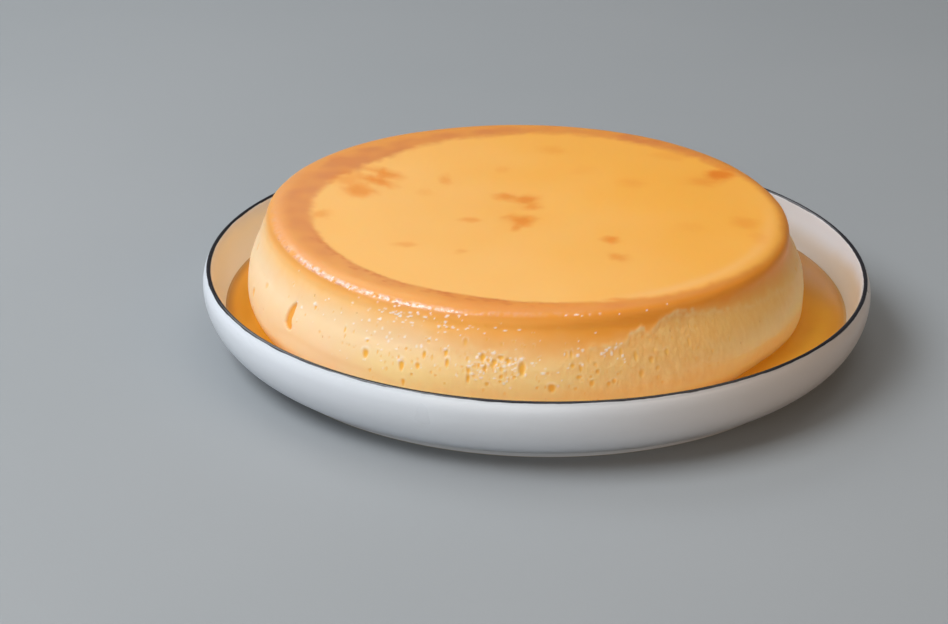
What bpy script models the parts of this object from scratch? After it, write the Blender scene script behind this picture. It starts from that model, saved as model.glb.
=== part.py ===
# A round leche flan turned out of its pan, standing in a pool of its caramel syrup on a deep glazed plate.
# Metres, +Z up, front towards -Y. The origin is the centre of the plate's foot ring, on the table.
from math import acos, atan2, cos, hypot, pi, radians, sin, sqrt, tau

import bmesh
import bpy

SEGMENTS = 72  # round the axis of each piece
WET_STEPS = 3  # rings of points up the flan's side below the syrup's surface
DRY_STEPS = 10  # and above it
GAP = 0.0003  # kept between neighbouring pieces
WELD = 1e-6

# Plate
RIM_RADIUS = 0.135  # at the crest of the lip
RIM_HEIGHT = 0.0312
LIP_RADIUS = 0.001  # the lip is rounded over
BULGE_RADIUS = 0.1374  # the wall's widest place, a little under the lip
BULGE_HEIGHT = 0.025
BOWL_RADIUS = 0.112  # where the outer curve has its centre
CREASE_RADIUS = 0.1205  # the groove where the bowl meets its foot ring
CREASE_HEIGHT = 0.003
FLOOR_HEIGHT = 0.007
FOOT_RADIUS = 0.1188
FOOT_WIDTH = 0.0048
FOOT_ROUNDING = 0.0005
RECESS_HEIGHT = 0.002  # of the underside inside the foot ring

# Caramel syrup
SYRUP_LEVEL = 0.014
SYRUP_RADIUS = 0.1278  # where its surface meets the plate's wall

# Flan, from a 230 mm round pan
FLAN_OFFSET = -0.00475  # along X: it stands a little left of the plate's centre
FLAN_LEAN = 0.0008  # its top has slipped this far back to the right
FLAN_TOP = 0.0551
FLAN_BASE_RADIUS = 0.106
BELLY_RADIUS = 0.1145  # the soft custard bulges over the syrup
BELLY_HEIGHT = 0.0212
BELLY_EASE = 1.66  # above 1 the belly keeps its width longer on the way up
SHOULDER_RADIUS = 0.1072  # at the lower end of the rounded top edge, where the side is upright
SHOULDER_DROP = 0.0066
TOP_FLAT_RADIUS = 0.0984
TOP_DROOP = 0.0004  # how much lower the flat's edge is than its middle
TOP_RING_SHARE = 0.6  # the droop lies outside this share of the flat's radius
EVENING_OUT = 3  # power by which the side's unevenness dies out across the top
# Unevenness of the side: waves round it, amplitude in metres, and direction of one crest in degrees
SIDE_WAVES = ((2, 0.00035, -22), (4, 0.0006, -30))
TUCK_DEPTH = 0.0025  # the foot is drawn in at the front right
TUCK_DIRECTION = radians(-33)
TUCK_HALF_ANGLE = radians(24)
TUCK_TOP = 0.026
TUCK_STEEPNESS = 1.6  # 1 would reach the full depth only at the plate's floor

GLAZE = (0.82, 0.84, 0.85)
CUSTARD = (0.88, 0.50, 0.15)
CARAMEL = (0.50, 0.16, 0.015)


def material(name, colour, roughness):
    made = bpy.data.materials.new(name)
    made.use_nodes = True
    made.diffuse_color = (*colour, 1)
    shader = made.node_tree.nodes["Principled BSDF"]
    shader.inputs["Base Color"].default_value = (*colour, 1)
    shader.inputs["Roughness"].default_value = roughness
    shader.inputs["Metallic"].default_value = 0
    return made


def finish(name, mesh_data, colour, roughness, sharp_degrees):
    """Turns the bmesh into an object of one closed mesh, shaded smooth but for its sharp edges."""
    bmesh.ops.remove_doubles(mesh_data, verts=mesh_data.verts, dist=WELD)
    bmesh.ops.recalc_face_normals(mesh_data, faces=mesh_data.faces)
    mesh = bpy.data.meshes.new(name)
    mesh_data.to_mesh(mesh)
    mesh_data.free()
    mesh.shade_smooth()
    mesh.set_sharp_from_angle(angle=radians(sharp_degrees))
    mesh.materials.append(material(name, colour, roughness))
    made = bpy.data.objects.new(name, mesh)
    bpy.context.scene.collection.objects.link(made)
    return made


def turned(profile):
    """A bmesh of the (radius, height) profile, spun once round the Z axis."""
    mesh_data = bmesh.new()
    chain = [mesh_data.verts.new((radius, 0, height)) for radius, height in profile]
    edges = [mesh_data.edges.new(pair) for pair in zip(chain, chain[1:])]
    bmesh.ops.spin(
        mesh_data,
        geom=chain + edges,
        cent=(0, 0, 0),
        axis=(0, 0, 1),
        dvec=(0, 0, 0),
        angle=tau,
        steps=SEGMENTS,
    )
    bmesh.ops.remove_doubles(mesh_data, verts=mesh_data.verts, dist=WELD)
    return mesh_data


def arc(centre, half_width, half_height, start, stop, steps):
    """Points on an ellipse, by its own angle from start to stop, both included."""
    points = []
    for step in range(steps + 1):
        angle = start + (stop - start) * step / steps
        points.append((centre[0] + half_width * cos(angle), centre[1] + half_height * sin(angle)))
    return points


def through(rise, reach):
    """Half height of the ellipse that has come in to the fraction reach of its half width at this rise."""
    return rise / sqrt(1 - reach**2)


def inner_wall():
    """The bowl's inner curve as two arcs that meet at the syrup's surface: below it, and above it."""
    lip_height = RIM_HEIGHT - LIP_RADIUS
    depth = lip_height - FLOOR_HEIGHT
    wet = acos((lip_height - SYRUP_LEVEL) / depth)  # angle up from the ellipse's lowest point
    half_width = (RIM_RADIUS - LIP_RADIUS - SYRUP_RADIUS) / (1 - sin(wet))
    centre = (RIM_RADIUS - LIP_RADIUS - half_width, lip_height)
    below = arc(centre, half_width, depth, -pi / 2, -pi / 2 + wet, steps=6)
    above = arc(centre, half_width, depth, -pi / 2 + wet, 0, steps=5)
    return below, above


def plate_profile():
    below, above = inner_wall()
    lip = arc((RIM_RADIUS, RIM_HEIGHT - LIP_RADIUS), LIP_RADIUS, LIP_RADIUS, pi, 0, steps=4)
    half_width = BULGE_RADIUS - BOWL_RADIUS
    lip_reach = (RIM_RADIUS + LIP_RADIUS - BOWL_RADIUS) / half_width
    lip_half_height = through(RIM_HEIGHT - LIP_RADIUS - BULGE_HEIGHT, lip_reach)
    crease_reach = (CREASE_RADIUS - BOWL_RADIUS) / half_width
    bowl_half_height = through(BULGE_HEIGHT - CREASE_HEIGHT, crease_reach)
    centre = (BOWL_RADIUS, BULGE_HEIGHT)
    over_bulge = arc(centre, half_width, lip_half_height, acos(lip_reach), 0, steps=2)
    under_bulge = arc(centre, half_width, bowl_half_height, 0, -acos(crease_reach), steps=7)
    foot = [
        (FOOT_RADIUS + FOOT_ROUNDING, CREASE_HEIGHT - FOOT_ROUNDING),
        (FOOT_RADIUS, FOOT_ROUNDING),
        (FOOT_RADIUS - FOOT_ROUNDING, 0),
        (FOOT_RADIUS - FOOT_WIDTH, 0),
        (FOOT_RADIUS - FOOT_WIDTH - RECESS_HEIGHT, RECESS_HEIGHT),
        (0, RECESS_HEIGHT),
    ]
    return [(0, FLOOR_HEIGHT), *below, *above[1:], *lip[1:], *over_bulge[1:], *under_bulge[1:], *foot]


def flan_side(height):
    """The side's radius before its unevenness: a belly, drawn in below, and in an S curve above."""
    if height < BELLY_HEIGHT:
        drawn_in = (BELLY_HEIGHT - height) / (BELLY_HEIGHT - FLOOR_HEIGHT - GAP)
        return BELLY_RADIUS - (BELLY_RADIUS - FLAN_BASE_RADIUS) * drawn_in**2
    climb = ((height - BELLY_HEIGHT) / (FLAN_TOP - SHOULDER_DROP - BELLY_HEIGHT)) ** BELLY_EASE
    return BELLY_RADIUS - (BELLY_RADIUS - SHOULDER_RADIUS) * climb**2 * (3 - 2 * climb)


def top_edge(steps):
    """The rounded edge, a quadratic curve from the upright shoulder over to the flat top."""
    flat_height = FLAN_TOP - TOP_DROOP
    points = []
    for step in range(1, steps + 1):
        t = step / steps
        weights = ((1 - t) ** 2, 2 * t * (1 - t), t**2)
        radii = (SHOULDER_RADIUS, SHOULDER_RADIUS, TOP_FLAT_RADIUS)
        heights = (FLAN_TOP - SHOULDER_DROP, flat_height, flat_height)
        radius = sum(weight * value for weight, value in zip(weights, radii))
        height = sum(weight * value for weight, value in zip(weights, heights))
        points.append((radius, height))
    return points


def unevenness(angle, height):
    """How far the flan's side stands out of round at this angle and height."""
    waves = sum(size * cos(order * angle - order * radians(crest)) for order, size, crest in SIDE_WAVES)
    turn = (angle - TUCK_DIRECTION + pi) % tau - pi
    tuck = 0
    if abs(turn) < TUCK_HALF_ANGLE and height < TUCK_TOP:
        across = cos(turn / TUCK_HALF_ANGLE * pi / 2) ** 2
        down = (TUCK_TOP - height) / (TUCK_TOP - FLOOR_HEIGHT)
        tuck = TUCK_DEPTH * across * min(1, TUCK_STEEPNESS * down)
    return waves - tuck


def moved_flan_point(radius, height, angle, share):
    """A point of the flan in plate coordinates, with the given share of the unevenness."""
    radius += share * unevenness(angle, height)
    leaning = FLAN_LEAN * max(0, height - BELLY_HEIGHT) / (FLAN_TOP - BELLY_HEIGHT)
    return (FLAN_OFFSET + leaning + radius * cos(angle), radius * sin(angle), height)


def build_plate():
    return finish("plate", turned(plate_profile()), GLAZE, roughness=0.12, sharp_degrees=35)


def build_flan():
    bottom = FLOOR_HEIGHT + GAP
    shoulder = FLAN_TOP - SHOULDER_DROP
    wet = [bottom + (SYRUP_LEVEL - bottom) * step / WET_STEPS for step in range(WET_STEPS + 1)]
    dry = [SYRUP_LEVEL + (shoulder - SYRUP_LEVEL) * step / DRY_STEPS for step in range(1, DRY_STEPS + 1)]
    side = [(flan_side(height), height) for height in wet + dry]
    flat = [(TOP_FLAT_RADIUS * TOP_RING_SHARE, FLAN_TOP), (0, FLAN_TOP)]
    profile = [(0, bottom), *side, *top_edge(steps=6), *flat]
    mesh_data = turned(profile)
    for vertex in mesh_data.verts:
        radius = hypot(vertex.co.x, vertex.co.y)
        angle = atan2(vertex.co.y, vertex.co.x)
        share = min(1, radius / TOP_FLAT_RADIUS) ** EVENING_OUT
        vertex.co = moved_flan_point(radius, vertex.co.z, angle, share)
    return finish("flan", mesh_data, CUSTARD, roughness=0.3, sharp_degrees=60)


def build_syrup():
    """A ring with its inner face along the flan's foot and its underside along the bowl."""
    below, _ = inner_wall()
    bottom = FLOOR_HEIGHT + GAP
    angles = [tau * step / SEGMENTS for step in range(SEGMENTS)]
    rings = []
    for step in range(WET_STEPS, -1, -1):
        height = bottom + (SYRUP_LEVEL - bottom) * step / WET_STEPS
        radius = flan_side(height) + GAP
        rings.append([moved_flan_point(radius, height, angle, 1) for angle in angles])
    for radius, height in below:
        lowered = min(height + GAP, SYRUP_LEVEL)
        rings.append([((radius - GAP) * cos(a), (radius - GAP) * sin(a), lowered) for a in angles])
    mesh_data = bmesh.new()
    loops = [[mesh_data.verts.new(point) for point in ring] for ring in rings]
    for near, far in zip(loops, loops[1:] + loops[:1]):
        for here in range(SEGMENTS):
            there = (here + 1) % SEGMENTS
            mesh_data.faces.new((near[here], near[there], far[there], far[here]))
    return finish("caramel_syrup", mesh_data, CARAMEL, roughness=0.05, sharp_degrees=35)


def main():
    for leftover in list(bpy.data.objects):
        bpy.data.objects.remove(leftover)
    build_plate()
    build_flan()
    build_syrup()


main()
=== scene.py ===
from math import acos, cos, pi, radians, sin, sqrt, tau
from types import SimpleNamespace

import bpy
import numpy as np
from mathutils import Matrix, Vector, noise


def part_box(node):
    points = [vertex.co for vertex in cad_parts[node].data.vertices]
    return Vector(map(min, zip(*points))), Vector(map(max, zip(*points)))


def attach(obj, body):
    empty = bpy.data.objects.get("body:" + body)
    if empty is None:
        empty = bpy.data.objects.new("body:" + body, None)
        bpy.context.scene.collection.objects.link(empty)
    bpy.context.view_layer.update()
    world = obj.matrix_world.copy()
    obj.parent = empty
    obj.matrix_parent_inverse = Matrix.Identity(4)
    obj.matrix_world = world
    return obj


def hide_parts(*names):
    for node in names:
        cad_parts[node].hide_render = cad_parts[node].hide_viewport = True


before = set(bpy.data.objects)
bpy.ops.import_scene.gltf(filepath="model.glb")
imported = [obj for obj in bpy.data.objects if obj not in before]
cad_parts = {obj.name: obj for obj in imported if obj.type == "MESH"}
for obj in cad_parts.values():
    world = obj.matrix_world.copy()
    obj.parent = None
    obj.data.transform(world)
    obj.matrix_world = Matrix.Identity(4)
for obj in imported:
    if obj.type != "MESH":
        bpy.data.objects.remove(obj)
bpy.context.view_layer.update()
plateLow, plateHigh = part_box("plate")
flanLow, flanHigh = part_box("flan")
syrupLow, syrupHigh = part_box("caramel_syrup")
mm = 0.001
print("frame loaded:", ", ".join(sorted(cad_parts)))


def ease(share):  # from 0 to 1 with level ends
    share = np.clip(share, 0, 1)
    return share * share * (3 - 2 * share)


def fade(value, start, end):  # 0 at start and before it, 1 at end and past it, either way round
    return ease((value - start) / (end - start))


def hump(value, middle, reach):  # 1 at the middle, gone at the reach on both sides
    return ease(1 - np.abs(value - middle) / reach)


def lumps(points, size, shift=0.0):  # smooth unevenness whose lumps are about that size, within -1 and 1
    return np.array([noise.noise(spot) for spot in (points / size + shift).tolist()])


def aroundFlan(degrees, rows, column=1):  # smooth closed curve through rows that start with a direction
    table = np.array(rows, float)
    at, values = table[:, 0], table[:, column]
    at = np.concatenate([at[-1:] - 360, at, at[:1] + 360])
    values = np.concatenate([values[-1:], values, values[:1]])
    step = np.clip(np.searchsorted(at, degrees, side="right") - 1, 0, len(at) - 2)
    share = ease((degrees - at[step]) / (at[step + 1] - at[step]))
    return values[step] + (values[step + 1] - values[step]) * share


def arc(centre, halfWidth, halfHeight, start, stop, steps):  # (radius, height) points on an ellipse
    angles = np.linspace(start, stop, steps + 1)
    return np.stack([centre[0] + halfWidth * np.cos(angles), centre[1] + halfHeight * np.sin(angles)], 1)


def band(first, second, columns):  # quads between two closed rings of points, by their first numbers
    here = np.arange(columns)
    there = (here + 1) % columns
    return np.stack([first + here, first + there, second + there, second + here], 1).tolist()


def fan(ring, tip, columns):  # triangles from a closed ring to one point
    return [(ring + here, ring + (here + 1) % columns, tip) for here in range(columns)]


def makePiece(name, points, faces, material, masks=None):
    mesh = bpy.data.meshes.new(name)
    mesh.from_pydata(np.asarray(points).tolist(), [], faces)
    mesh.shade_smooth()
    mesh.materials.append(material)
    for label, values in (masks or {}).items():
        mesh.attributes.new(label, "FLOAT", "POINT").data.foreach_set("value", values.astype(np.float32))
    piece = bpy.data.objects.new(name, mesh)
    bpy.context.scene.collection.objects.link(piece)
    triangles = sum(len(face) - 2 for face in faces)
    print(f"{name}: {len(points)} points, {triangles} triangles")
    return piece


def paint(red, green, blue):  # a colour from 0 to 255 as a screen shows it
    return (*[((part / 255 + 0.055) / 1.055) ** 2.4 for part in (red, green, blue)], 1)


bench = SimpleNamespace(tree=None)  # newGroup and newMaterial say which tree the next nodes go into


def place(kind, inputs=None, **settings):
    node = bench.tree.nodes.new(kind)
    for label, value in settings.items():
        setattr(node, label, value)
    for label, value in (inputs or {}).items():
        join(value, node.inputs[label])
    return node


def join(value, socket):  # a plain value is set, a socket is linked
    if isinstance(value, bpy.types.NodeSocket):
        bench.tree.links.new(value, socket)
    else:
        socket.default_value = value


def blend(share, first, second):  # colour from first to second
    node = place("ShaderNodeMix", data_type="RGBA")
    for socket, value in zip((node.inputs[0], node.inputs[6], node.inputs[7]), (share, first, second)):
        join(value, socket)
    return node.outputs[2]


def sums(operation, *values):
    node = place("ShaderNodeMath", operation=operation)
    for socket, value in zip(node.inputs, values):
        join(value, socket)
    return node.outputs[0]


def times(first, second):
    return sums("MULTIPLY", first, second)


def between(value, low, high, lowTo=0.0, highTo=1.0):  # eased step from low to high
    inputs = {"Value": value, "From Min": low, "From Max": high, "To Min": lowTo, "To Max": highTo}
    return place("ShaderNodeMapRange", inputs, interpolation_type="SMOOTHSTEP").outputs["Result"]


def bumpNormal(height, distance, strength):
    inputs = {"Height": height, "Distance": distance, "Strength": strength}
    return place("ShaderNodeBump", inputs).outputs["Normal"]


def newGroup(name, numbers, output):  # a group that takes a place and some numbers
    tree = bench.tree = bpy.data.node_groups.new(name, "ShaderNodeTree")
    tree.interface.new_socket("Spot", in_out="INPUT", socket_type="NodeSocketVector")
    for label, value in numbers.items():
        socket = tree.interface.new_socket(label, in_out="INPUT", socket_type="NodeSocketFloat")
        socket.default_value = value
    tree.interface.new_socket(output, in_out="OUTPUT", socket_type="NodeSocketFloat")
    given, gives = tree.nodes.new("NodeGroupInput").outputs, tree.nodes.new("NodeGroupOutput").inputs
    return tree, given, gives[output]


def useGroup(group, inputs):
    return place("ShaderNodeGroup", inputs, node_tree=group).outputs[0]


def pointMask(label):
    return place("ShaderNodeAttribute", attribute_name=label).outputs["Fac"]


def newMaterial(name):
    material = bpy.data.materials.new(name)
    material.use_nodes = True
    bench.tree = material.node_tree
    shader = bench.tree.nodes["Principled BSDF"]
    return material, shader, place("ShaderNodeTexCoord").outputs["Object"]


def setShader(shader, inputs):
    for label, value in inputs.items():
        join(value, shader.inputs[label])


# slow change of tone over a surface
toneDrift, given, mask = newGroup("toneDrift", {"Size": 0.02, "Softness": 0.3}, "Mask")
scale = sums("DIVIDE", 1.0, given["Size"])
cloud = place("ShaderNodeTexNoise", {"Vector": given["Spot"], "Scale": scale, "Detail": 3.0})
lowEnd = sums("SUBTRACT", 0.5, given["Softness"])
highEnd = sums("ADD", 0.5, given["Softness"])
join(between(cloud.outputs["Fac"], lowEnd, highEnd), mask)

# fine unevenness in two sizes, for a bump
sizes = {"Grain size": 0.001, "Ripple size": 0.006, "Ripple share": 0.5}
fineRelief, given, height = newGroup("fineRelief", sizes, "Height")
grainShare = sums("SUBTRACT", 1.0, given["Ripple share"])
layers = []
for size, detail, share in (("Grain size", 2.0, grainShare), ("Ripple size", 1.0, given["Ripple share"])):
    scale = sums("DIVIDE", 1.0, given[size])
    layer = place("ShaderNodeTexNoise", {"Vector": given["Spot"], "Scale": scale, "Detail": detail})
    layers.append(times(layer.outputs["Fac"], share))
join(sums("ADD", *layers), height)

# scattered round specks: 1 in a speck, 0 outside
specks, given, mask = newGroup("specks", {"Spacing": 0.003, "Size": 0.25, "Share": 0.5}, "Mask")
scale = sums("DIVIDE", 1.0, given["Spacing"])
cells = place("ShaderNodeTexVoronoi", {"Vector": given["Spot"], "Scale": scale})
chance = place("ShaderNodeSeparateColor", {"Color": cells.outputs["Color"]}).outputs["Red"]
chosen = sums("LESS_THAN", chance, given["Share"])
speckSize = times(given["Size"], between(chance, 0.0, 1.0, 0.6, 1.2))
inSpeck = between(cells.outputs["Distance"], speckSize, times(speckSize, 0.5))
join(times(inSpeck, chosen), mask)
print("shader groups: toneDrift, fineRelief, specks")


def drift(spot, size, softness):  # mask from toneDrift
    return useGroup(toneDrift, {"Spot": spot, "Size": size, "Softness": softness})


def unevenness(spot, grainSize, rippleSize, rippleShare):  # height from fineRelief
    inputs = {"Spot": spot, "Grain size": grainSize, "Ripple size": rippleSize, "Ripple share": rippleShare}
    return useGroup(fineRelief, inputs)


def scatter(spot, spacing, size, share):  # mask from specks
    inputs = {"Spot": spot, "Spacing": spacing, "Size": size, "Share": share}
    return useGroup(specks, inputs)


view = {
    "place": (0, -1.045, 0.464),
    "turnLeft": 1.40,  # degrees
    "lookDown": 23.59,
    "roll": 0.83,
    "lens": 103.9,  # on a 36 mm sensor
}
light = {
    # direction and height over the table in degrees; distance, width and height in metres; watts; colour
    "softBoxes": {
        "windowFront": (205, 52, 1.5, 1.05, 0.8, 18.4, (0.95, 0.98, 1.0)),
        "windowBack": (140, 40, 1.6, 1.2, 0.6, 7.2, (0.94, 0.97, 1.0)),
        "ceiling": (60, 74, 1.7, 1.4, 1.4, 6.4, (1.0, 0.98, 0.95)),
        "frontWall": (256, 18, 1.8, 1.6, 0.9, 6.5, (1.0, 0.95, 0.86)),
        "warmWall": (322, 30, 1.7, 1.4, 0.8, 4.5, (1.0, 0.7, 0.45)),
    },
    "sky": (1.0, 0.97, 0.93),
    "skyStrength": 0.085,
}
ground = {
    "size": 8.0,
    "tone": paint(148, 153, 157),
    "paleTone": paint(153, 157, 161),
    "roughness": 0.85,
}


def hangSoftBox(name, direction, rise, distance, width, height, watts, colour):
    data = bpy.data.lights.new(name, "AREA")
    data.shape = "RECTANGLE"
    data.size, data.size_y = width, height
    data.energy, data.color = watts, colour
    box = bpy.data.objects.new(name, data)
    bpy.context.scene.collection.objects.link(box)
    turn, rise = radians(direction), radians(rise)
    toBox = Vector((cos(turn) * cos(rise), sin(turn) * cos(rise), sin(rise)))
    box.location = toBox * distance
    box.rotation_euler = (-toBox).to_track_quat("-Z", "Y").to_euler()


cameraData = bpy.data.cameras.new("camera")
cameraData.lens = view["lens"]
cameraData.sensor_width = 36
cameraData.clip_start, cameraData.clip_end = 0.05, 60
camera = bpy.data.objects.new("camera", cameraData)
bpy.context.scene.collection.objects.link(camera)
camera.matrix_world = (
    Matrix.Translation(view["place"])
    @ Matrix.Rotation(radians(view["turnLeft"]), 4, "Z")
    @ Matrix.Rotation(radians(90 - view["lookDown"]), 4, "X")
    @ Matrix.Rotation(radians(view["roll"]), 4, "Z")
)
bpy.context.scene.camera = camera

for name, values in light["softBoxes"].items():
    hangSoftBox(name, *values)
world = bpy.data.worlds.new("studio")
bpy.context.scene.world = world
world.use_nodes = True
sky = world.node_tree.nodes["Background"].inputs
sky["Color"].default_value = (*light["sky"], 1)
sky["Strength"].default_value = light["skyStrength"]
bpy.context.scene.view_settings.view_transform = "Standard"

floorMaterial, shader, spot = newMaterial("paleFloor")
setShader(shader, {
    "Base Color": blend(drift(spot, 300 * mm, 0.35), ground["tone"], ground["paleTone"]),
    "Roughness": ground["roughness"],
    "Normal": bumpNormal(unevenness(spot, 1.2 * mm, 20 * mm, 0.2), 0.1 * mm, 0.5),
})
half = ground["size"] / 2
floorCorners = [(-half, -half, 0), (half, -half, 0), (half, half, 0), (-half, half, 0)]
floor = makePiece("floor", floorCorners, [(0, 1, 2, 3)], floorMaterial)
print("camera, light and floor are in place")


plate = {
    "bulgeRadius": plateHigh.x,
    "rimHeight": plateHigh.z,
    "rimRadius": plateHigh.x - 2.4 * mm,
    "lipRadius": 1.0 * mm,
    "bulgeHeight": 25 * mm,
    "bowlRadius": 112 * mm,  # where the outer curve has its centre
    "creaseRadius": 120.5 * mm,
    "creaseHeight": 3 * mm,
    "floorHeight": 7 * mm,
    "footRadius": 118.8 * mm,
    "footWidth": 4.8 * mm,
    "footRounding": 0.5 * mm,
    "footMiddle": 1.4 * mm,
    "recessHeight": 2 * mm,
    "columns": 320,
    "bowlSteps": 40,
    "lipSteps": 14,
    "overBulgeSteps": 8,
    "underBulgeSteps": 36,
    "footSteps": 4,
    "floorRings": (40 * mm, 80 * mm),
    "lineHalfWidth": (0.81 * mm, 0.95 * mm),  # thinnest and widest of the dark line on the lip
    "lineBlur": 0.07 * mm,
    "lineDown": (3.2 * mm, 2.8 * mm),  # below the crest there is none
    "bareFoot": (0.42 * mm, 0.28 * mm),  # the glaze ends between these heights
    "glaze": paint(226, 232, 240),
    "glazeThin": paint(223, 228, 236),
    "glazeShadedRight": paint(206, 195, 187),  # painted shade: outside, darker towards the right, away from the light
    "grit": paint(170, 165, 158),
    "filmLeft": paint(255, 244, 208),
    # partly a real syrup film, and on the right painted shade
    "filmShadedRight": paint(206, 186, 156),
    "line": paint(28, 28, 34),
    "lineWorn": paint(40, 40, 46),
    "clay": paint(196, 188, 176),
    "clayGrit": paint(160, 150, 138),
    # how far up the wall syrup has run: direction in degrees, height in mm
    "wettedTo": (
        (0, 28), (30, 24), (60, 18), (120, 24), (160, 31), (215, 31), (245, 22), (300, 18), (345, 24),
    ),
    "wettedTone": (  # and how thick it is there; at the right its darker tone is painted shade
        (0, 0.9), (30, 0.5), (60, 0), (120, 0.3), (165, 0.65), (210, 0.65), (245, 0.4), (345, 0.9),
    ),
    "wettedFade": (1.5, -7),  # in mm above and below that height
    "wettedUneven": 0.9,
}
gap = 0.3 * mm  # the solids keep this from each other
syrupLevel = syrupHigh.z
shoreRadius = syrupHigh.x + gap


def bowlShape():  # the inner curve's centre, half width and depth
    lipHeight = plate["rimHeight"] - plate["lipRadius"]
    depth = lipHeight - plate["floorHeight"]
    wet = acos((lipHeight - syrupLevel) / depth)
    halfWidth = (plate["rimRadius"] - plate["lipRadius"] - shoreRadius) / (1 - sin(wet))
    return (plate["rimRadius"] - plate["lipRadius"] - halfWidth, lipHeight), halfWidth, depth


def wallRadius(height):  # of the bowl's inside
    centre, halfWidth, depth = bowlShape()
    return centre[0] + halfWidth * sqrt(1 - ((centre[1] - height) / depth) ** 2)


def bowlHeight(radius):  # of the bowl's inside
    centre, halfWidth, depth = bowlShape()
    reach = np.clip((radius - centre[0]) / halfWidth, 0, 1)
    return centre[1] - depth * np.sqrt(1 - reach**2)


def plateProfile():  # from the floor out, over the lip and back underneath, and how many rings are inside
    centre, halfWidth, depth = bowlShape()
    inside = arc(centre, halfWidth, depth, -pi / 2, 0, plate["bowlSteps"])
    lipCentre = (plate["rimRadius"], plate["rimHeight"] - plate["lipRadius"])
    lip = arc(lipCentre, plate["lipRadius"], plate["lipRadius"], pi, 0, plate["lipSteps"])
    bulgeWidth = plate["bulgeRadius"] - plate["bowlRadius"]
    lipReach = (plate["rimRadius"] + plate["lipRadius"] - plate["bowlRadius"]) / bulgeWidth
    lipRise = (lipCentre[1] - plate["bulgeHeight"]) / sqrt(1 - lipReach**2)
    creaseReach = (plate["creaseRadius"] - plate["bowlRadius"]) / bulgeWidth
    bowlRise = (plate["bulgeHeight"] - plate["creaseHeight"]) / sqrt(1 - creaseReach**2)
    outerCentre = (plate["bowlRadius"], plate["bulgeHeight"])
    overBulge = arc(outerCentre, bulgeWidth, lipRise, acos(lipReach), 0, plate["overBulgeSteps"])
    underBulge = arc(outerCentre, bulgeWidth, bowlRise, 0, -acos(creaseReach), plate["underBulgeSteps"])
    rounding = plate["footRounding"]
    outerFoot = plate["footRadius"]
    innerFoot = outerFoot - plate["footWidth"]
    foot = [(outerFoot + rounding, plate["creaseHeight"] - rounding)]
    foot += [(outerFoot, plate["footMiddle"]), (outerFoot, rounding)]
    steps = plate["footSteps"]
    foot += arc((outerFoot - rounding, rounding), rounding, rounding, 0, -pi / 2, steps)[1:].tolist()
    foot += arc((innerFoot + rounding, rounding), rounding, rounding, -pi / 2, -pi, steps).tolist()
    foot += [(innerFoot - plate["recessHeight"], plate["recessHeight"])]
    floorRings = [(radius, plate["floorHeight"]) for radius in plate["floorRings"]]
    underRings = [(radius, plate["recessHeight"]) for radius in plate["floorRings"][::-1]]
    outside = [lip[1:], overBulge[1:], underBulge[1:], foot, underRings]
    return np.concatenate([floorRings, inside, *outside]), len(floorRings) + len(inside)


def buildPlate(material):
    columns = plate["columns"]
    profile, insideRows = plateProfile()
    angles = np.arange(columns) * tau / columns
    radii, heights = profile[:, :1], profile[:, 1:] + 0 * angles
    rings = np.stack([radii * np.cos(angles), radii * np.sin(angles), heights], 2).reshape(-1, 3)
    count = len(profile)
    ends = [(0, 0, plate["floorHeight"]), (0, 0, plate["recessHeight"])]
    faces = []
    for ring in range(count - 1):
        faces += [quad[::-1] for quad in band(ring * columns, (ring + 1) * columns, columns)]
    faces += fan(0, count * columns, columns)
    faces += [face[::-1] for face in fan((count - 1) * columns, count * columns + 1, columns)]
    # how thickly syrup has wetted the inner wall, highest at the left where it ran down; the thick, dark
    # film at the right is painted shade
    places = np.concatenate([rings, ends])
    degrees = np.degrees(np.arctan2(places[:, 1], places[:, 0])) % 360
    up = places[:, 2] / mm
    row = np.concatenate([np.repeat(np.arange(count), columns), [0, count]])
    ranUp = aroundFlan(degrees, plate["wettedTo"]) + plate["wettedUneven"] * lumps(places, 11 * mm)
    above, below = plate["wettedFade"]
    thickness = aroundFlan(degrees, plate["wettedTone"]) * fade(up, ranUp + above, ranUp + below)
    film = thickness * (row < insideRows) * (up > syrupLevel / mm - 1)
    outside = fade(row, insideRows + plate["footSteps"], insideRows + plate["lipSteps"])
    return makePiece("glazed_dish", places, faces, material, {"film": film, "outside": outside})


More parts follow.
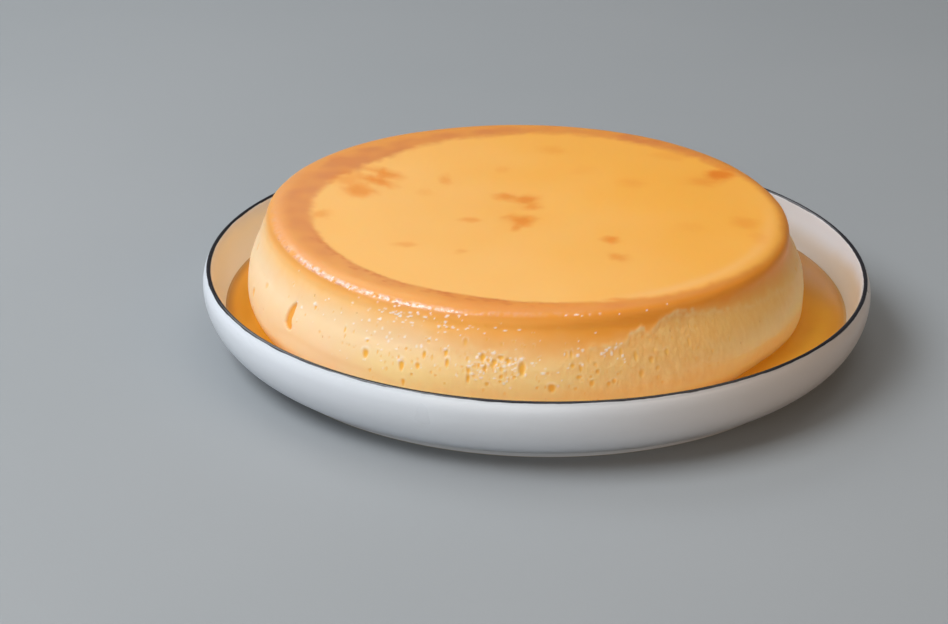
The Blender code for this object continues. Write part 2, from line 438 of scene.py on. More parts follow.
def glazeMaterial():
    material, shader, spot = newMaterial("glazedPlate")
    parts = place("ShaderNodeSeparateXYZ", {"Vector": spot}).outputs
    flat = place("ShaderNodeCombineXYZ", {"X": parts["X"], "Y": parts["Y"], "Z": 0.0})
    fromAxis = place("ShaderNodeVectorMath", {0: flat.outputs[0]}, operation="LENGTH")
    radius, height = fromAxis.outputs["Value"], parts["Z"]
    # dark line on the lip, a little uneven as a banding wheel leaves it
    wobble = drift(spot, 12 * mm, 0.35)
    offLine = sums("ABSOLUTE", sums("SUBTRACT", radius, plate["rimRadius"]))
    halfLine = between(wobble, 0.0, 1.0, *plate["lineHalfWidth"])
    blur = plate["lineBlur"]
    inLine = between(sums("SUBTRACT", offLine, halfLine), blur, -blur)
    onLip = between(height, *[plate["rimHeight"] - down for down in plate["lineDown"]])
    line = times(inLine, onLip)
    # the glaze varies a little, with a few dark grits in it
    tone = drift(spot, 35 * mm, 0.4)
    glaze = blend(tone, plate["glaze"], plate["glazeThin"])
    grit = scatter(spot, 4 * mm, 0.06, 0.25)
    glaze = blend(times(grit, 0.35), glaze, plate["grit"])
    outside = pointMask("outside")
    # painted shade: the outside darkens towards the right, away from the light
    toRight = between(parts["X"], 0.0, 120 * mm)
    glaze = blend(times(outside, toRight), glaze, plate["glazeShadedRight"])
    # syrup has wetted the wall a little above its surface; its darker tone towards the right is painted
    # shade on the inner wall
    film = pointMask("film")
    filmTone = blend(between(parts["X"], -50 * mm, 50 * mm), plate["filmLeft"], plate["filmShadedRight"])
    glaze = blend(film, glaze, filmTone)
    finish = blend(line, glaze, blend(wobble, plate["line"], plate["lineWorn"]))
    # the foot ring stands on bare clay
    bare = between(height, *plate["bareFoot"])
    clay = blend(scatter(spot, 1.2 * mm, 0.3, 0.5), plate["clay"], plate["clayGrit"])
    gloss = between(tone, 0.0, 1.0, 0.27, 0.3)
    gloss = sums("SUBTRACT", gloss, times(line, 0.14))
    setShader(shader, {
        "Base Color": blend(bare, finish, clay),
        "Roughness": blend(bare, gloss, (0.75, 0.75, 0.75, 1)),
        "Normal": bumpNormal(unevenness(spot, 1.6 * mm, 9 * mm, 0.7), 0.05 * mm, 0.35),
        "IOR": 1.52, "Metallic": 0.0,
    })
    return material


dish = buildPlate(glazeMaterial())
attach(dish, "root")
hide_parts("plate")
print("plate is made")


flan = {
    "bottom": flanLow.z,
    "top": flanHigh.z,
    "standsLeft": -4.75 * mm,
    "leansRight": 0.8 * mm,
    "baseRadius": 106 * mm,
    "bellyRadius": 114.5 * mm,
    "bellyHeight": 21.2 * mm,
    "bellyEase": 1.66,
    "shoulderRadius": 107.2 * mm,
    "shoulderDrop": 6.6 * mm,
    "flatRadius": 98.4 * mm,
    "droop": 0.4 * mm,
    "waves": ((2, 0.35 * mm, -22), (4, 0.6 * mm, -30)),  # order, size, direction of a crest in degrees
    "tuckDepth": 2.5 * mm,
    "tuckDirection": -33,
    "tuckHalfAngle": 24,
    "tuckTop": 26 * mm,
    "tuckSteepness": 1.6,
    # points round the side are this far apart in mm, by direction: closest where the surface is most broken
    "spacing": ((20, 1.3), (190, 1.3), (203, 0.72), (230, 0.48), (318, 0.48), (345, 0.9)),
    "innerRadius": 84 * mm,  # inside this the top has a quarter of the columns
    "footRows": 4,
    "fineFrom": 24 * mm,  # rows lie closer together above this
    "sideSteps": (1 * mm, 0.5 * mm),
    "cornerRows": 21,
    "topStep": 0.85 * mm,
    "innerRows": 32,
    "tipRadius": 2.6 * mm,
    "lumps": {  # size and shift of each kind of unevenness
        "broad": (26 * mm, 0), "middling": (9 * mm, 3.1), "fine": (3.4 * mm, 7.7),
        "small": (1.7 * mm, 11.3), "scars": (2.2 * mm, 2.6),
    },
}
# browned skin: each table's rows start with a direction in degrees, and lengths are in mm
crust = {
    # on the top: radius where it begins, softness there, and how dark it begins
    "ring": (
        (0, 103.5, 2.5, 0.2), (20, 101, 3, 0.3), (32, 97, 3.5, 0.45), (46, 95, 3.5, 0.7),
        (60, 93, 3.5, 0.95), (74, 92.5, 4, 0.5), (88, 91, 4, 0.45), (99, 88, 4.5, 0.8),
        (110, 88, 4.5, 0.9), (122, 86.5, 4, 0.9), (136, 82, 3.5, 1), (150, 82.5, 3.2, 1),
        (164, 86.5, 3.6, 0.8), (180, 89.2, 2.8, 0.85), (196, 90.2, 2.4, 0.8), (210, 91.2, 2, 0.7),
        (226, 92.6, 1.6, 0.6), (240, 93.8, 1.2, 0.5), (251, 94.3, 1, 0.5), (261, 95.8, 1.2, 0.4),
        (271, 98, 1.6, 0.3), (290, 100.4, 1.8, 0.3), (311, 102.6, 2, 0.2), (340, 104.5, 2, 0.1),
    ),
    "ringUneven": ((0, 1), (50, 2.2), (150, 2.6), (185, 1.2), (250, 0.9), (300, 1)),
    "ringStrength": ((60, 1), (212, 1), (230, 0.75), (242, 0.7), (262, 1)),
    "darkReach": ((60, 10.5), (115, 12), (150, 19), (185, 14), (215, 10.5), (300, 10.5)),
    "darkFade": 7,
    # on the side: height where it ends, how far it fades above and below that, and its strength
    "skirt": (
        (0, 44.5, 6, 1), (60, 45, 6, 0.9), (120, 45, 7, 0.9), (180, 45.6, 9, 0.95), (205, 45.6, 9.5, 1),
        (218, 45.2, 9.5, 1), (234, 45.6, 9, 1), (246, 45, 9, 1), (256, 42.2, 7.5, 1), (266, 41.6, 7.5, 1),
        (276, 40.5, 8, 1), (285, 39.8, 6, 1), (295, 43, 5, 1), (303, 48.4, 3.5, 1), (310, 47, 3.2, 1),
        (316, 45.6, 4.2, 1), (326, 45, 6, 1), (340, 44.4, 6, 1),
    ),
    # wrinkles along the ring's inner edge: how far past its start, and width
    "wrinkles": ((0.5, 1.6), (2.6, 1.3)),
    "wrinkleStrength": ((188, 0), (212, 0.8), (232, 1), (262, 1), (282, 0.3), (300, 0)),
}
# the side's skin has come off under a tear: degrees, the tear's height in mm, roughness under it
tornSkin = (
    (236, 26, 0), (241, 32, 0.1), (246, 37, 0.2), (256, 39.5, 0.35), (262, 39.8, 0.5), (269, 38.5, 0.35),
    (272.5, 33, 0.2), (276, 32.5, 0.3), (279, 37, 0.5), (285, 40.3, 0.6), (290.8, 41, 0.8), (292, 44, 0.9),
    (294.5, 45.2, 1), (296, 42.6, 1), (297.4, 45, 1), (299, 47.5, 1), (302.5, 48.9, 1), (306, 47.8, 0.9),
    (310, 46, 0.65), (317, 44, 0.4), (325, 42, 0.35), (334, 41, 0.4), (345, 38, 0.2), (356, 34, 0),
)
tornFoot = (19, 23)  # the tear fades out between these heights
# how strongly each effect is modelled, in mm
relief = {
    "side": (0.34, 0.12, 0.03),  # broad, middling and fine lumps
    "top": (0.09, 0.03),
    "topDown": 0.6,  # keeps the top's lumps under its flat
    "freckle": 0.04,
    "wrinkle": 0.06,
    "wetCorner": (0.2, 0.12, 0.1),  # small and fine lumps, and streaks
    "glintFleck": 0.12,
    "torn": (0.13, 0.11, 0.12),  # streaks, scars, and how deep they lie
    "crest": 0.22,
    "rim": 0.1,
    "hole": 0.44,  # share of a hole's depth
    "crease": 0.12,
    "shoulderAt": (45, 8),  # height and reach in mm of the band that is filled or drawn in by direction
    "shoulderFill": ((0, -0.6), (60, 0), (180, 0.8), (200, 1), (262, 1), (292, 0.3), (320, 0), (345, -0.5)),
}
# where each tone lies on the flan: direction in degrees, then its strength unless another unit is named
tonePlaces = {
    "wetFade": (48, 50.5),  # heights in mm between which the wet corner begins
    "wet": (
        (0, 0), (185, 0.1), (207, 0.35), (220, 1), (243, 1), (252, 0.5), (262, 0.25), (276, 0.12), (290, 0),
    ),
    # how far up the wet skin faces, following the light's reflection, and how far from that it is gone
    "wetRise": ((180, 0.84), (205, 0.77), (215, 0.73), (235, 0.69), (255, 0.69), (276, 0.73)),
    "wetReach": 0.2,
    "soakedTo": ((0, 29), (60, 23), (200, 21), (305, 21), (328, 28)),  # height in mm; the tone below is partly caramel soaked in, partly painted orange bounce light from the syrup
    "soakedFade": 6,
    "ochreFoot": ((26.5, 24), (284, 16)),  # heights it fades between, its direction and reach
    # painted shade: a darker band under a fold, low on the front left
    "foldAt": ((206, 22), (218, 26.2), (236, 25.2), (250, 22)),  # height in mm
    "foldWidth": 2.2,
    "foldEnds": ((205, 214), (252, 240)),
    # painted light: the lower side is made paler where shade falls on it
    "belly": ((20, 0.3), (180, 0), (228, 0), (246, 0.8), (290, 0.8), (310, 0.6), (328, 1), (350, 1)),
    "bellyFade": (40, 27),  # heights in mm
    "paintedLightLeft": (56, -60),  # in mm across, from the right to the left; painted light, paler where the light falls
    # painted sheen: a paler band where the light glances off the top's edge at the right
    "paintedSheenBand": ((20, 0), (282, 0), (300, 1), (345, 0.6)),
    "paintedSheenBandAt": (98.5, 5),  # radius and half width in mm of the painted sheen
    # darker browned corner: partly real browning, partly painted shade to temper the light on it
    "cornerBrownShade": ((0, 0.2), (150, 0.7), (205, 0.9), (246, 0.8), (262, 0.6), (280, 0.4), (300, 0.45)),
    "cornerFade": (46.5, 50),  # heights in mm
    "cornerRise": (0.55, 0.62),
    "warm": ((0, 1), (120, 0.6), (180, 0.1), (228, 0.15), (255, 0.85), (300, 1)),
}
# steamed-out holes: degrees, height, width, length and depth in mm
holes = (
    (203, 35.9, 3.2, 2.3, 0.25), (220.6, 36.4, 1, 1.3, 0.3), (222.9, 40.6, 1.3, 2, 0.45),
    (232.3, 37.4, 0.9, 2.6, 0.4), (232.7, 35.3, 0.9, 1.7, 0.4), (238.3, 31.4, 2.6, 3.7, 0.8),
    (238.2, 36.2, 1.2, 1.3, 0.5), (240.9, 33.3, 0.9, 1.9, 0.35), (241.8, 32.1, 1, 1, 0.3),
    (246.4, 30.3, 2.1, 4.4, 0.85), (249.7, 31.4, 1.8, 2.5, 0.6), (250.7, 35.7, 1.6, 3, 0.6),
    (251.2, 40.6, 1.5, 1.2, 0.4), (255, 37.4, 1.5, 2.6, 0.6), (255.5, 33.9, 1.4, 3.4, 0.6),
    (254.9, 45.9, 1.3, 1.1, 0.4), (253.2, 45.4, 0.8, 1.4, 0.35), (247, 23.9, 1.5, 2.8, 0.5),
    (258.6, 41.8, 1.6, 2.6, 0.3), (259.8, 31.9, 1.3, 2.6, 0.6), (259.8, 28.9, 1.4, 3.6, 0.7),
    (262.3, 37.1, 1.9, 2.9, 0.8), (264.6, 35.6, 2, 2.6, 0.8), (265.8, 37.5, 2.6, 1.4, 0.6),
    (263, 33.2, 1, 3.6, 0.6), (267.2, 36.4, 2, 2.2, 0.6), (261.6, 34.4, 1.2, 1.6, 0.5),
    (270, 33.5, 2.5, 5.3, 1), (268.6, 30.6, 1.4, 1.4, 0.4), (275.8, 26.2, 3, 3.4, 0.8),
    (273, 26.7, 1.2, 1.4, 0.35), (275, 32.2, 1.2, 1, 0.3), (279.5, 38.4, 1.1, 3, 0.4),
    (279.7, 34.6, 1.6, 1.8, 0.5), (281.3, 33.5, 1.3, 2.9, 0.5), (281, 30.3, 2.3, 1.5, 0.55),
    (280.4, 25.8, 1.2, 1.6, 0.35), (284.6, 31.9, 1.5, 2, 0.5), (283.5, 27.5, 2.1, 2.7, 0.6),
    (286.9, 26.7, 1.6, 1.8, 0.5), (288, 27.6, 1.8, 1.9, 0.5), (288.7, 30.3, 1.2, 1.2, 0.35),
    (289.5, 38, 1.3, 3.6, 0.45), (292.5, 35.9, 1.5, 3.8, 0.55), (293.5, 29.2, 2.2, 3.3, 0.7),
    (295.7, 33.9, 2.1, 2.6, 0.6), (297, 30.3, 1.7, 2.2, 0.45), (299.2, 35.7, 1.9, 2.3, 0.5),
    (304.5, 37.5, 1.3, 3.4, 0.35), (226, 33.2, 1.5, 1.5, 0.25), (228.9, 32.8, 1, 1.2, 0.15),
    (232.5, 32.6, 1.2, 1.2, 0.2), (234.2, 32.8, 1, 1.3, 0.2), (235.4, 32.5, 1.1, 1, 0.2),
    (243.5, 33.6, 0.8, 1.8, 0.3), (247.8, 36.6, 1, 0.9, 0.25), (262.8, 43.3, 1, 0.9, 0.3),
    (265.8, 41.8, 0.9, 1.4, 0.25), (268.2, 43.1, 1, 0.9, 0.25), (272.1, 41.6, 0.8, 1.4, 0.2),
    (273.1, 37.2, 0.9, 1.1, 0.2), (278.5, 38.7, 1.3, 2, 0.3),
)
# wet flecks that stand up a little, painted pale as a highlight where they catch the light: degrees,
# height, width and length in mm
flecks = (
    (218.7, 38.2, 1.8, 1), (222.6, 41.5, 2.8, 1.1), (226, 45.4, 1, 0.7), (238, 36.8, 2, 0.9),
    (242.8, 38, 1.1, 1.3), (244.8, 36, 1.7, 0.9), (239.4, 39.9, 1.1, 0.9), (242.2, 39.2, 1, 1),
    (240.9, 41.7, 1.4, 0.7), (242.7, 40.8, 1.2, 0.6), (240, 44.7, 1.1, 0.9), (237.5, 43.2, 1.3, 0.6),
    (235.8, 42.5, 0.9, 0.7), (242, 30.6, 0.9, 0.7), (238.4, 29.3, 0.8, 0.8), (245.9, 32.3, 2.6, 1.1),
    (246.1, 40.6, 1.1, 0.9), (252.8, 46.3, 1.5, 1), (254.4, 46.6, 1, 0.8), (248.9, 38.2, 1.3, 0.9),
    (249.8, 38.4, 1.2, 0.9), (251.3, 41.3, 1.6, 0.8), (252.7, 41.5, 0.9, 0.7), (254.8, 38.8, 1.3, 1),
    (261.6, 38.4, 1.5, 0.9), (264.2, 38.9, 1.7, 1), (261.2, 37.2, 1.2, 1), (260.7, 34.5, 1.9, 0.8),
    (262.3, 34.4, 1.4, 0.8), (263.5, 34.8, 1.3, 0.7), (267.5, 35.1, 1.5, 1.4), (269.8, 37.3, 1.6, 1),
    (266.8, 33, 1.2, 1.1), (260.5, 31.2, 1.6, 1.2), (262.3, 29.9, 1.6, 0.9), (264.8, 30.1, 1.5, 0.8),
    (270.7, 31.6, 1.1, 1.4), (257.2, 33.8, 0.9, 0.8), (253.2, 32.7, 1, 0.7), (274, 32.3, 1.9, 1.1),
    (268, 26.4, 1.1, 1.1), (278.2, 38.8, 0.9, 0.9), (280.7, 38.2, 1.4, 1.3), (281.7, 39.8, 1.6, 0.7),
    (281.6, 34.9, 1.1, 1), (288.6, 39.9, 1.2, 0.9), (289.7, 40.8, 1.5, 0.5), (285.6, 38.2, 1.2, 1.2),
    (286.6, 39.4, 1.4, 0.9), (287.6, 38, 1.3, 1.6), (288.3, 39.6, 1, 1.2), (287.2, 40.1, 1.5, 0.7),
    (286.2, 37.3, 0.9, 1), (289.8, 36.9, 0.9, 1.4), (276.9, 32.5, 1, 0.8), (277, 27.3, 1, 0.8),
    (278.5, 52.4, 0.9, 0.6), (280.6, 52.5, 2.4, 0.6), (281.8, 52.1, 0.8, 0.6), (283.5, 52.3, 1.6, 0.5),
    (285.6, 52.3, 1.7, 0.5), (289.7, 51.7, 0.8, 0.6), (295.8, 51.6, 0.7, 0.7), (300.7, 52.4, 0.8, 0.6),
)
# browned freckles on the top: x, y, half width and half length in mm, turn in degrees, depth of tone
freckles = (
    (-9, 11, 6.8, 4.8, -28, 0.7), (-1, 8, 6.4, 5.6, -30, 0.72), (1.5, 1.5, 3.8, 5.5, -10, 0.6),
    (-3.5, -12.5, 7.4, 4.2, 3, 0.62), (-2.5, -15.5, 4.8, 6, 12, 0.78), (-4.5, -23, 2.2, 4.2, -8, 0.6),
    (-23.5, -15.5, 4.2, 3, -8, 0.5), (-35, 29, 2.8, 6, 4, 0.5), (-11.5, 43, 3, 4.4, 0, 0.25),
    (-43.5, 14, 3.4, 4.4, 0, 0.2), (33.5, -34, 4, 4, 20, 0.7), (36, -51, 5, 4.2, -10, 0.55),
    (-48.5, -43.5, 4.8, 2.6, -4, 0.42), (-25.5, -49.5, 2.6, 2.6, 0, 0.4), (10, 68.5, 5.5, 6.5, 30, 0.34),
    (23, 45, 5, 7, -20, 0.14), (43, 31, 6, 6, -25, 0.34), (60, 64, 7, 5, -35, 0.22),
    (81, 43.5, 7, 10, -25, 1.0), (74, 35, 7, 6, 0, 0.5), (88, -11, 6, 6, 0, 0.36),
    (92, -26, 4, 7, 10, 0.22), (66, -18, 6, 6, -8, 0.16), (34, -93, 5, 1.6, 16, 0.5),
    (-70.5, 15, 8, 9.5, 6, 0.68), (-63.5, 26, 11, 4.6, -42, 0.78), (-60, 35, 11, 4.4, -44, 0.72),
    (-77, 28, 7, 9, 12, 0.5), (-84, -12, 3.6, 4.5, 0, 0.42),
)
gash = {  # a crescent slit at the left of the front
    # height in mm, direction in degrees, half width in mm
    "outline": (
        (27.4, 216.1, 0.0), (28.2, 216.2, 1.8), (29.5, 215.9, 2.5), (31, 215.7, 2.1), (33, 215.7, 1.9),
        (35, 215.9, 1.9), (37, 216.2, 1.2), (39, 216.6, 0.0),
    ),
    "blur": 0.45,
    "depth": 0.8,
    "creaseTop": 42.5,
}
# how many are strewn at random, with fixed seeds, on each stretch of the side
strewnHoles = {"seed": 7, "honeycomb": 18, "front": 90, "above": 50, "sides": 130}
strewnFlecks = {"seed": 23, "underEdge": 90, "front": 60, "honeycomb": 45}


def sideRadius(height):
    if height < flan["bellyHeight"]:
        drawnIn = (flan["bellyHeight"] - height) / (flan["bellyHeight"] - flan["bottom"])
        return flan["bellyRadius"] - (flan["bellyRadius"] - flan["baseRadius"]) * drawnIn**2
    climb = (height - flan["bellyHeight"]) / (flan["top"] - flan["shoulderDrop"] - flan["bellyHeight"])
    drawnIn = ease(climb ** flan["bellyEase"])
    return flan["bellyRadius"] - (flan["bellyRadius"] - flan["shoulderRadius"]) * drawnIn


def topHeight(radius):
    return flan["top"] - flan["droop"] * fade(radius, 59 * mm, flan["flatRadius"])


def flanRows():  # (radius, height) from the bottom up the side, round the shoulder and in over the top
    shoulder = flan["top"] - flan["shoulderDrop"]
    heights = np.concatenate([
        np.linspace(flan["bottom"], syrupLevel - 0.6 * mm, flan["footRows"]),
        np.arange(syrupLevel, flan["fineFrom"], flan["sideSteps"][0]),
        np.arange(flan["fineFrom"], shoulder - 0.3 * mm, flan["sideSteps"][1]),
    ])
    side = [(sideRadius(height), height) for height in heights]
    share = np.linspace(0, 1, flan["cornerRows"])
    weights = np.stack([(1 - share) ** 2, 2 * share * (1 - share), share**2], 1)
    wide, flat, flatHeight = flan["shoulderRadius"], flan["flatRadius"], flan["top"] - flan["droop"]
    corner = (weights @ [(wide, shoulder), (wide, flatHeight), (flat, flatHeight)]).tolist()
    outer = np.arange(flat - 0.8 * mm, flan["innerRadius"] + 0.5 * mm, -flan["topStep"])
    inner = np.linspace(flan["innerRadius"], flan["tipRadius"], flan["innerRows"])
    outer, inner = ([(radius, topHeight(radius)) for radius in radii] for radii in (outer, inner))
    return np.array(side + corner + outer), np.array(inner)


def flanColumns():  # directions in radians, closer together where the spacing is small
    fine = np.linspace(0, 360, 7201)
    spacing = aroundFlan(fine, flan["spacing"]) * mm
    count = np.concatenate([[0], np.cumsum(radians(0.05) * flan["bellyRadius"] / spacing[1:])])
    columns = 4 * round(count[-1] / 4)
    return np.radians(np.interp(np.arange(columns) * count[-1] / columns, count, fine))


def outOfRound(angles, heights):
    waves = 0
    for order, size, crest in flan["waves"]:
        waves = waves + size * np.cos(order * angles - order * radians(crest))
    turn = (np.degrees(angles) - flan["tuckDirection"] + 180) % 360 - 180
    across = np.cos(np.clip(turn / flan["tuckHalfAngle"], -1, 1) * pi / 2) ** 2
    down = np.clip((flan["tuckTop"] - heights) / (flan["tuckTop"] - plate["floorHeight"]), 0, 1)
    return waves - flan["tuckDepth"] * across * np.minimum(1, flan["tuckSteepness"] * down)


def flanPoint(radii, heights, angles):  # before any fine relief
    share = np.minimum(1, radii / flan["flatRadius"]) ** 3
    radii = radii + share * outOfRound(angles, heights)
    belly = flan["bellyHeight"]
    lean = flan["leansRight"] * np.maximum(0, heights - belly) / (flan["top"] - belly)
    x = flan["standsLeft"] + lean + radii * np.cos(angles)
    return np.stack([x, radii * np.sin(angles), heights], -1)


def rowNormals(rows):  # outward direction in (radius, height) along a profile
    along = np.gradient(rows, axis=0)
    normals = np.stack([along[:, 1], -along[:, 0]], 1)
    return normals / np.linalg.norm(normals, axis=1, keepdims=True)


def flanSkin():  # every point of the skin with what the effects below need to know of it
    rows, innerRows = flanRows()
    angles = flanColumns()
    coarse = angles[::4]
    normals = rowNormals(np.concatenate([rows, innerRows]))
    skin = SimpleNamespace(rows=len(rows), columns=len(angles))
    skin.innerRows, skin.innerColumns = len(innerRows), len(coarse)

    def spread(outer, inner):  # a value for each row becomes one for each point
        return np.concatenate([np.repeat(outer, len(angles), 0), np.repeat(inner, len(coarse), 0)])

    radii, heights = spread(rows[:, 0], innerRows[:, 0]), spread(rows[:, 1], innerRows[:, 1])
    turn = np.concatenate([np.tile(angles, len(rows)), np.tile(coarse, len(innerRows))])
    tilt = spread(normals[:len(rows)], normals[len(rows):])
    skin.out = np.stack([tilt[:, 0] * np.cos(turn), tilt[:, 0] * np.sin(turn), tilt[:, 1]], 1)
    skin.points = flanPoint(radii, heights, turn)
    skin.rise = tilt[:, 1]
    skin.onTop = fade(skin.rise, 0.6, 0.97)
    skin.degrees, skin.up, skin.radius = np.degrees(turn), heights / mm, radii / mm
    skin.x, skin.y = skin.radius * np.cos(turn), skin.radius * np.sin(turn)
    for name, (size, shift) in flan["lumps"].items():
        setattr(skin, name, lumps(skin.points, size, shift))
    skin.streaks = lumps(skin.points * np.array([1, 1, 0.3]), 1.2 * mm, 5.2)
    return skin


def brownSkin(skin):  # masks of the browned skin: ring, its dark inner part, skirt and wrinkles

    def by(name, column=1):  # what a table says for each point's direction
        return aroundFlan(skin.degrees, crust[name], column)

    begins = by("ring") + by("ringUneven") * (skin.middling + 0.7 * skin.fine)
    softness = by("ring", 2)
    ring = by("ringStrength") * fade(skin.radius, begins - softness, begins + softness)
    past = skin.radius - begins
    dark = by("ring", 3) * fade(past, -softness, 0.8 * softness)
    reach = by("darkReach")
    dark = dark * fade(past, reach, reach - crust["darkFade"]) * (0.85 + 0.9 * skin.middling)
    ends = by("skirt") + 1.3 * skin.middling + 0.8 * skin.fine
    blur = by("skirt", 2)
    skirt = by("skirt", 3) * fade(skin.up, ends - blur, ends + blur)
    first, second = crust["wrinkles"]
    line = hump(past + 0.6 * skin.small, *first)
    line *= np.clip(0.6 + 1.5 * skin.fine + 0.8 * skin.middling, 0, 1)
    wrinkle = hump(past + 0.8 * skin.small, *second)
    wrinkle *= np.clip(0.1 + 1.9 * skin.fine + 1.2 * skin.middling, 0, 1)
    line = np.maximum(line, 0.8 * wrinkle) * by("wrinkleStrength")
    return ring, np.clip(dark, 0, 1), skirt, line * skin.onTop


def tornSide(skin):  # where the skin is gone, and the pale crest along its edge
    edge = aroundFlan(skin.degrees, tornSkin) + 0.5 * skin.middling + 0.8 * skin.fine + 0.5 * skin.small
    rough = aroundFlan(skin.degrees, tornSkin, 2) * fade(skin.up, *tornFoot)
    below = rough * fade(skin.up, edge + 0.5, edge - 0.6)
    crest = rough * hump(skin.up, edge - 0.2, 2.1) * (0.75 + 0.6 * skin.fine)
    return below, crest


def alongSide(degrees):  # in mm
    return radians(1) * degrees * flan["bellyRadius"] / mm


def holeShape(degrees, up, hole):  # depth from 0 to 1 of a hole, wider above, and its raised upper rim
    at, middle, width, length, _ = hole
    across = alongSide(degrees - at)
    rise = up - middle
    taper = 1 + 0.6 * np.clip(rise / length, -0.5, 0.5)
    reach = np.hypot(across / (width / 2 * taper), rise / (length / 2))
    return 1 - ease((reach - 0.5) / 0.75), hump(reach, 1.4, 0.5) * fade(rise / length, -0.3, 0.35)


def randomHoles():
    random = np.random.default_rng(strewnHoles["seed"])
    draw = random.uniform
    made = []
    for _ in range(strewnHoles["honeycomb"]):
        at, height = random.normal(264, 3), random.normal(34, 2.6)
        made.append((at, height, draw(0.9, 1.5), draw(1, 2.2), draw(0.3, 0.5)))
    for _ in range(strewnHoles["front"]):  # small and mostly low
        at = draw(238, 316)
        height = draw(23, max(aroundFlan(np.array([at]), tornSkin)[0], 27))
        made.append((at, height, draw(0.6, 1.2), draw(0.8, 2.2), draw(0.15, 0.4)))
    for _ in range(strewnHoles["above"]):  # and to the left
        at, height = draw(212, 300), draw(30, 49)
        made.append((at, height, draw(0.6, 0.9), draw(0.7, 1.5), draw(0.1, 0.3)))
    for _ in range(strewnHoles["sides"]):  # and the back, where they are wider
        at, size = draw(-12, 198), draw(1.4, 2.9)
        made.append((at % 360, draw(19, 40), size, size * draw(0.9, 1.8), draw(0.3, 0.9)))
    return made


def pointsNear(skin, among, at, height, degreesOff, heightOff):
    return (np.abs(skin.degrees[among] - at) < degreesOff) & (np.abs(skin.up[among] - height) < heightOff)


def steamHoles(skin):  # depth in mm, and masks of the hollows and their rims, whose pale tone is a painted highlight
    sunk, hollow, glintRims = (np.zeros(len(skin.points)) for _ in range(3))
    onSide = np.flatnonzero(skin.rise < 0.7)
    for hole in [*holes, *randomHoles()]:
        at, height, width, length, deepest = hole
        near = onSide[pointsNear(skin, onSide, at, height, 0.9 * width, length)]
        depth, rim = holeShape(skin.degrees[near], skin.up[near], hole)
        strength = min(1, deepest / 0.5) * np.interp(at, (275, 292), (1, 0.65))  # fainter to the right
        sunk[near] = np.maximum(sunk[near], depth * deepest)
        hollow[near] = np.maximum(hollow[near], depth * strength)
        glintRims[near] = np.maximum(glintRims[near], rim * strength * np.interp(at, (275, 295), (1, 0.4)))
    return sunk, hollow, glintRims


def wetFlecks(skin):  # mask of the placed flecks and of smaller ones strewn under the top's edge
    random = np.random.default_rng(strewnFlecks["seed"])
    draw = random.uniform
    strewn = []
    for _ in range(strewnFlecks["underEdge"]):
        at, height = random.normal(247, 8.5), random.triangular(43.5, 48, 53.5)
        strewn.append((at, height, draw(0.5, 1.7), draw(0.35, 0.65)))
    for _ in range(strewnFlecks["front"]):
        at, height = draw(212, 292), draw(27, 46)
        strewn.append((at, height, draw(0.4, 0.9), draw(0.4, 0.7)))
    for _ in range(strewnFlecks["honeycomb"]):  # ridges between its holes
        at, height = random.normal(265, 3.6), random.normal(33.8, 2.8)
        strewn.append((at, height, draw(0.6, 1.5), draw(0.5, 1.1)))
    wet = np.zeros(len(skin.points))
    onSide = np.flatnonzero(skin.rise < 0.9)
    for at, height, width, length in [*flecks, *strewn]:
        near = onSide[pointsNear(skin, onSide, at, height, width, length)]
        across = alongSide(skin.degrees[near] - at) / (width / 2)
        reach = np.hypot(across, (skin.up[near] - height) / (length / 2)) + 0.35 * skin.small[near]
        wet[near] = np.maximum(wet[near], fade(reach, 1.25, 0.45))
    return wet


def slit(skin):  # mask of the crescent slit, and of the crease that runs on above it
    heights, directions, halfWidths = np.array(gash["outline"]).T
    off = alongSide(skin.degrees - np.interp(skin.up, heights, directions))
    past = np.abs(off) + 0.3 * skin.small - np.interp(skin.up, heights, halfWidths)
    inside = fade(past, gash["blur"], -gash["blur"]) * (skin.up > heights[0]) * (skin.up < heights[-1])
    fadesIn, fadesOut = (heights[-2] - 1, heights[-1]), (gash["creaseTop"], heights[-1])
    crease = hump(off, 0.2, 1.3) * fade(skin.up, *fadesIn) * fade(skin.up, *fadesOut)
    return inside, crease


def freckleTone(skin):
    tone = np.zeros(len(skin.points))
    for atX, atY, halfWide, halfLong, turned, depth in freckles:
        cosine, sine = cos(radians(turned)), sin(radians(turned))
        across = (skin.x - atX) * cosine + (skin.y - atY) * sine
        along = (skin.y - atY) * cosine - (skin.x - atX) * sine
        reach = np.hypot(across / halfWide, along / halfLong) + 0.3 * skin.middling + 0.3 * skin.fine
        tone = np.maximum(tone, depth * fade(reach, 1.35, 0.25) * skin.onTop)
    return tone


def flanFaces(skin):
    columns, innerColumns = skin.columns, skin.innerColumns
    firstInner = skin.rows * columns
    lastOuter = firstInner - columns
    tip = firstInner + skin.innerRows * innerColumns
    faces = []
    for row in range(skin.rows - 1):
        faces += band(row * columns, (row + 1) * columns, columns)
    for group in range(innerColumns):  # four fine columns meet one coarse column
        fine = [lastOuter + (4 * group + step) % columns for step in range(5)]
        here, there = firstInner + group, firstInner + (group + 1) % innerColumns
        faces += [(fine[0], fine[1], here), (fine[1], fine[2], here), (fine[2], there, here)]
        faces += [(fine[2], fine[3], there), (fine[3], fine[4], there)]
    for row in range(skin.innerRows - 1):
        start = firstInner + row * innerColumns
        faces += band(start, start + innerColumns, innerColumns)
    faces += fan(tip - innerColumns, tip, innerColumns)
    return faces + [face[::-1] for face in fan(0, tip + 1, columns)]


